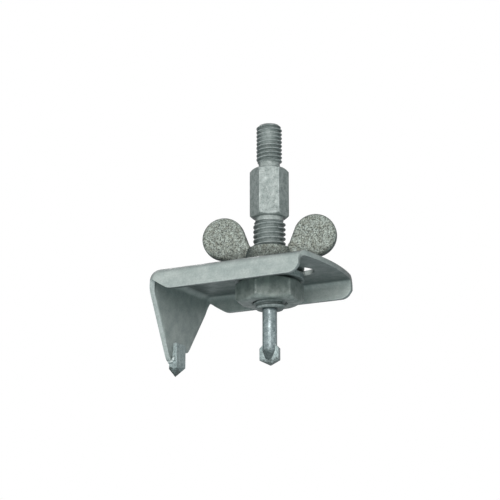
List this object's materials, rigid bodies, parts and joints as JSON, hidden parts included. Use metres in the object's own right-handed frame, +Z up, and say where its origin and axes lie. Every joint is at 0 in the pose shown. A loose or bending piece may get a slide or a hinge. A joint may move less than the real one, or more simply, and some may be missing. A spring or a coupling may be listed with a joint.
{
  "type": "adjustable circle cutter",
  "caption": "Adjustable circle cutter: a slotted pressed-steel arm with a cutting tip, clamped by a wing nut on a threaded spindle with a pilot drill.",
  "frame": {"origin": "on the spindle axis at the upper shoulder of the drive hexagon, where the drive stud starts", "axes": "+Z up along the drive stud, +X along the arm away from the cutting leg"},
  "size_m": [0.0546, 0.038, 0.0756],
  "materials": {
    "zinc_plated_steel": "zinc plated, turned",
    "bright_steel": "bright ground",
    "carbide": "ground carbide",
    "braze": "silver braze",
    "galvanised_sheet": "galvanised sheet, dull",
    "galvanised_casting": "rough casting, galvanised",
    "dull_steel": "dull plated"
  },
  "bodies": {
    "spindle": {"spindle": "zinc_plated_steel", "pilot_drill": "bright_steel", "pilot_carbide_plate": "carbide", "pilot_braze": "braze", "hex_nut": "dull_steel"},
    "swing_washer": {"lower_washer": "zinc_plated_steel"},
    "arm": {"arm_bracket": "galvanised_sheet", "cutter_tip": "carbide", "cutter_braze": "braze"},
    "clamp_washer": {"upper_washer": "zinc_plated_steel"},
    "wing_nut": {"wing_nut": "galvanised_casting"}
  },
  "joints": [
    {"name": "arm_swing", "type": "hinge", "parent": "spindle", "child": "swing_washer", "pos_m": [0, 0, -0.0342], "axis": [0, 0, 1], "continuous": true},
    {"name": "arm_slide", "type": "slide", "parent": "swing_washer", "child": "arm", "axis": [1, 0, 0], "range_m": [-0.009, 0.0075]},
    {"name": "washer_lift", "type": "slide", "parent": "spindle", "child": "clamp_washer", "axis": [0, 0, 1], "range_m": [0, 0.00676]},
    {"name": "wing_turn", "type": "hinge", "parent": "clamp_washer", "child": "wing_nut", "pos_m": [0, 0, -0.0275], "axis": [0, 0, 1], "range_deg": [0, 1620]}
  ],
  "couplings": [
    {"joint": "washer_lift", "follows": "wing_turn", "m_per_rad": 0.00023873}
  ]
}
